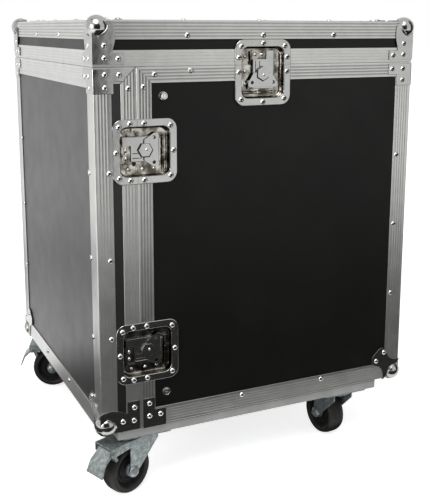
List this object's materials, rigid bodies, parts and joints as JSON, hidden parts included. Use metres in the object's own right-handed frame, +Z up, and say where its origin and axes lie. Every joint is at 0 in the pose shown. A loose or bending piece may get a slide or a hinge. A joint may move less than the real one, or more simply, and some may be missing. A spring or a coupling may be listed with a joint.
{
  "type": "rack case with mixer top",
  "caption": "Flight case on swivel castors: rack bay behind a lift-off front lid, mixer bay under a lift-off top lid, recessed butterfly latches.",
  "frame": {"origin": "on the floor under the middle of the object's box", "axes": "+Z up; the front lid faces -Y and +X is the case's right side as the front lid is seen from behind the case"},
  "size_m": [0.562, 0.6048, 0.7768],
  "materials": {
    "black_laminate": "birch ply with a fine pebbled black laminate face",
    "grey_board": "grey painted ply",
    "ribbed_aluminium": "satin extruded, shallow ribs",
    "bright_nickel": "bright nickel plated pressed steel",
    "zinc_plate": "bright zinc plated steel",
    "black_rubber": "matte black rubber tyre on a dark grey hub"
  },
  "bodies": {
    "case": {"side_panel_left": "black_laminate", "side_panel_right": "black_laminate", "rear_panel": "black_laminate", "bottom_panel": "black_laminate", "body_edging": "ribbed_aluminium", "body_seam_edging": "ribbed_aluminium", "body_front_edging": "ribbed_aluminium", "rack_rail_left": "zinc_plate", "rack_rail_right": "zinc_plate", "mixer_rail_left": "zinc_plate", "mixer_rail_right": "zinc_plate", "castor_board": "grey_board", "body_corner_left": "bright_nickel", "body_corner_right": "bright_nickel", "latch_dish_top_left": "bright_nickel", "latch_dish_upper_left": "bright_nickel", "latch_dish_lower_left": "bright_nickel", "latch_dish_top_right": "bright_nickel", "latch_dish_upper_right": "bright_nickel", "latch_dish_lower_right": "bright_nickel"},
    "top_lid": {"top_lid_shell": "black_laminate", "top_lid_edging": "ribbed_aluminium", "top_lid_seam_edging": "ribbed_aluminium", "lid_corner_front_left": "bright_nickel", "lid_corner_front_right": "bright_nickel", "lid_corner_rear_left": "bright_nickel", "lid_corner_rear_right": "bright_nickel", "latch_strike_top_left": "bright_nickel", "latch_strike_top_right": "bright_nickel"},
    "front_lid": {"front_lid_shell": "black_laminate", "front_lid_edging": "ribbed_aluminium", "front_lid_seam_edging": "ribbed_aluminium", "front_lid_corner_left": "bright_nickel", "front_lid_corner_right": "bright_nickel", "latch_strike_upper_left": "bright_nickel", "latch_strike_lower_left": "bright_nickel", "latch_strike_upper_right": "bright_nickel", "latch_strike_lower_right": "bright_nickel"},
    "wing_top_left": {"latch_wing_top_left": "bright_nickel"},
    "hook_top_left": {"latch_hook_top_left": "bright_nickel"},
    "wing_upper_left": {"latch_wing_upper_left": "bright_nickel"},
    "hook_upper_left": {"latch_hook_upper_left": "bright_nickel"},
    "wing_lower_left": {"latch_wing_lower_left": "bright_nickel"},
    "hook_lower_left": {"latch_hook_lower_left": "bright_nickel"},
    "wing_top_right": {"latch_wing_top_right": "bright_nickel"},
    "hook_top_right": {"latch_hook_top_right": "bright_nickel"},
    "wing_upper_right": {"latch_wing_upper_right": "bright_nickel"},
    "hook_upper_right": {"latch_hook_upper_right": "bright_nickel"},
    "wing_lower_right": {"latch_wing_lower_right": "bright_nickel"},
    "hook_lower_right": {"latch_hook_lower_right": "bright_nickel"},
    "fork_front_left": {"castor_fork_front_left": "zinc_plate"},
    "wheel_front_left": {"castor_wheel_front_left": "black_rubber"},
    "pedal_front_left": {"brake_pedal_front_left": "zinc_plate"},
    "fork_front_right": {"castor_fork_front_right": "zinc_plate"},
    "wheel_front_right": {"castor_wheel_front_right": "black_rubber"},
    "pedal_front_right": {"brake_pedal_front_right": "zinc_plate"},
    "fork_rear_left": {"castor_fork_rear_left": "zinc_plate"},
    "wheel_rear_left": {"castor_wheel_rear_left": "black_rubber"},
    "fork_rear_right": {"castor_fork_rear_right": "zinc_plate"},
    "wheel_rear_right": {"castor_wheel_rear_right": "black_rubber"}
  },
  "joints": [
    {"name": "top_lid_lift", "type": "slide", "parent": "case", "child": "top_lid", "axis": [0, 0, 1], "range_m": [0, 0.25]},
    {"name": "front_lid_pull", "type": "slide", "parent": "case", "child": "front_lid", "axis": [0, -1, 0], "range_m": [0, 0.25]},
    {"name": "wing_turn_top_left", "type": "hinge", "parent": "case", "child": "wing_top_left", "pos_m": [-0.265, -0.00115, 0.6843], "axis": [1, 0, 0], "range_deg": [0, 180]},
    {"name": "hook_slide_top_left", "type": "slide", "parent": "case", "child": "hook_top_left", "axis": [0, 0, 1], "range_m": [0, 0.004]},
    {"name": "wing_turn_upper_left", "type": "hinge", "parent": "case", "child": "wing_upper_left", "pos_m": [-0.265, -0.20015, 0.5678], "axis": [1, 0, 0], "range_deg": [0, 180]},
    {"name": "hook_slide_upper_left", "type": "slide", "parent": "case", "child": "hook_upper_left", "axis": [0, -1, 0], "range_m": [0, 0.004]},
    {"name": "wing_turn_lower_left", "type": "hinge", "parent": "case", "child": "wing_lower_left", "pos_m": [-0.265, -0.20015, 0.2448], "axis": [1, 0, 0], "range_deg": [0, 180]},
    {"name": "hook_slide_lower_left", "type": "slide", "parent": "case", "child": "hook_lower_left", "axis": [0, -1, 0], "range_m": [0, 0.004]},
    {"name": "wing_turn_top_right", "type": "hinge", "parent": "case", "child": "wing_top_right", "pos_m": [0.265, 0.00285, 0.6843], "axis": [1, 0, 0], "range_deg": [0, 180]},
    {"name": "hook_slide_top_right", "type": "slide", "parent": "case", "child": "hook_top_right", "axis": [0, 0, 1], "range_m": [0, 0.004]},
    {"name": "wing_turn_upper_right", "type": "hinge", "parent": "case", "child": "wing_upper_right", "pos_m": [0.265, -0.20015, 0.5718], "axis": [1, 0, 0], "range_deg": [0, 180]},
    {"name": "hook_slide_upper_right", "type": "slide", "parent": "case", "child": "hook_upper_right", "axis": [0, -1, 0], "range_m": [0, 0.004]},
    {"name": "wing_turn_lower_right", "type": "hinge", "parent": "case", "child": "wing_lower_right", "pos_m": [0.265, -0.20015, 0.2488], "axis": [1, 0, 0], "range_deg": [0, 180]},
    {"name": "hook_slide_lower_right", "type": "slide", "parent": "case", "child": "hook_lower_right", "axis": [0, -1, 0], "range_m": [0, 0.004]},
    {"name": "swivel_front_left", "type": "hinge", "parent": "case", "child": "fork_front_left", "pos_m": [-0.226, -0.20165, 0.09], "axis": [0, 0, 1], "continuous": true},
    {"name": "roll_front_left", "type": "hinge", "parent": "fork_front_left", "child": "wheel_front_left", "pos_m": [-0.23819, -0.23339, 0.041], "axis": [0.9336, -0.3584, 0], "continuous": true},
    {"name": "brake_press_front_left", "type": "hinge", "parent": "fork_front_left", "child": "pedal_front_left", "pos_m": [-0.25252, -0.27074, 0.0852], "axis": [0.9336, -0.3584, 0], "range_deg": [0, 14]},
    {"name": "swivel_front_right", "type": "hinge", "parent": "case", "child": "fork_front_right", "pos_m": [0.226, -0.20165, 0.09], "axis": [0, 0, 1], "continuous": true},
    {"name": "roll_front_right", "type": "hinge", "parent": "fork_front_right", "child": "wheel_front_right", "pos_m": [0.23819, -0.23339, 0.041], "axis": [0.9336, 0.3584, 0], "continuous": true},
    {"name": "brake_press_front_right", "type": "hinge", "parent": "fork_front_right", "child": "pedal_front_right", "pos_m": [0.25252, -0.27074, 0.0852], "axis": [0.9336, 0.3584, 0], "range_deg": [0, 14]},
    {"name": "swivel_rear_left", "type": "hinge", "parent": "case", "child": "fork_rear_left", "pos_m": [-0.226, 0.18485, 0.09], "axis": [0, 0, 1], "continuous": true},
    {"name": "roll_rear_left", "type": "hinge", "parent": "fork_rear_left", "child": "wheel_rear_left", "pos_m": [-0.19216, 0.18159, 0.041], "axis": [0.0958, 0.9954, 0], "continuous": true},
    {"name": "swivel_rear_right", "type": "hinge", "parent": "case", "child": "fork_rear_right", "pos_m": [0.226, 0.18485, 0.09], "axis": [0, 0, 1], "continuous": true},
    {"name": "roll_rear_right", "type": "hinge", "parent": "fork_rear_right", "child": "wheel_rear_right", "pos_m": [0.19216, 0.18159, 0.041], "axis": [0.0958, -0.9954, 0], "continuous": true}
  ],
  "couplings": [
    {"joint": "hook_slide_top_left", "follows": "wing_turn_top_left", "m_per_rad": 0.00127},
    {"joint": "hook_slide_upper_left", "follows": "wing_turn_upper_left", "m_per_rad": 0.00127},
    {"joint": "hook_slide_lower_left", "follows": "wing_turn_lower_left", "m_per_rad": 0.00127},
    {"joint": "hook_slide_top_right", "follows": "wing_turn_top_right", "m_per_rad": 0.00127},
    {"joint": "hook_slide_upper_right", "follows": "wing_turn_upper_right", "m_per_rad": 0.00127},
    {"joint": "hook_slide_lower_right", "follows": "wing_turn_lower_right", "m_per_rad": 0.00127}
  ]
}
